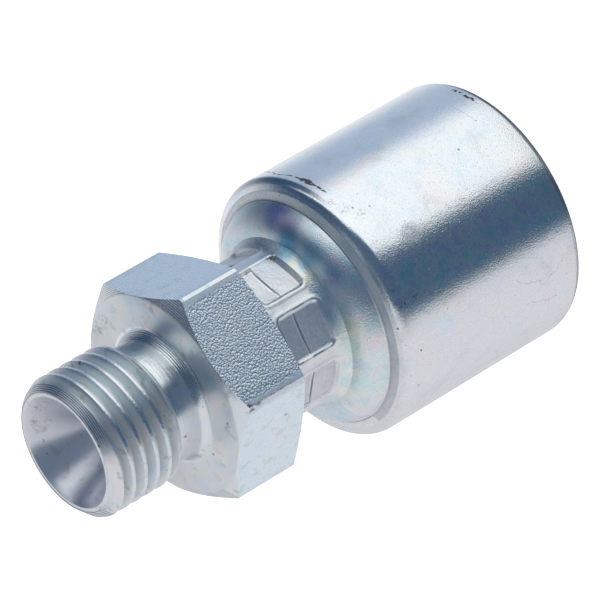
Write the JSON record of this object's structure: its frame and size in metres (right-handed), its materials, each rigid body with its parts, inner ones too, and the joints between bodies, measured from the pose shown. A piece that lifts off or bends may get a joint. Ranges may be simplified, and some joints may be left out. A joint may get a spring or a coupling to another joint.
{
  "type": "hydraulic hose fitting",
  "caption": "Crimp-on hydraulic hose end with a male pipe thread, a 60 degree seat, a hexagon and a staked ferrule open at the hose end.",
  "frame": {"origin": "middle of the ferrule's open rim, where the part stands", "axes": "+Z along the flow axis towards the male thread; the hexagon has corners on +X and -X"},
  "size_m": [0.0249, 0.0248, 0.0492],
  "materials": {
    "plated_stem": "bright zinc plate over turned steel",
    "plated_ferrule": "bright zinc plate, faintly iridescent"
  },
  "bodies": {
    "root": {"stem": "plated_stem", "ferrule": "plated_ferrule"}
  },
  "joints": []
}
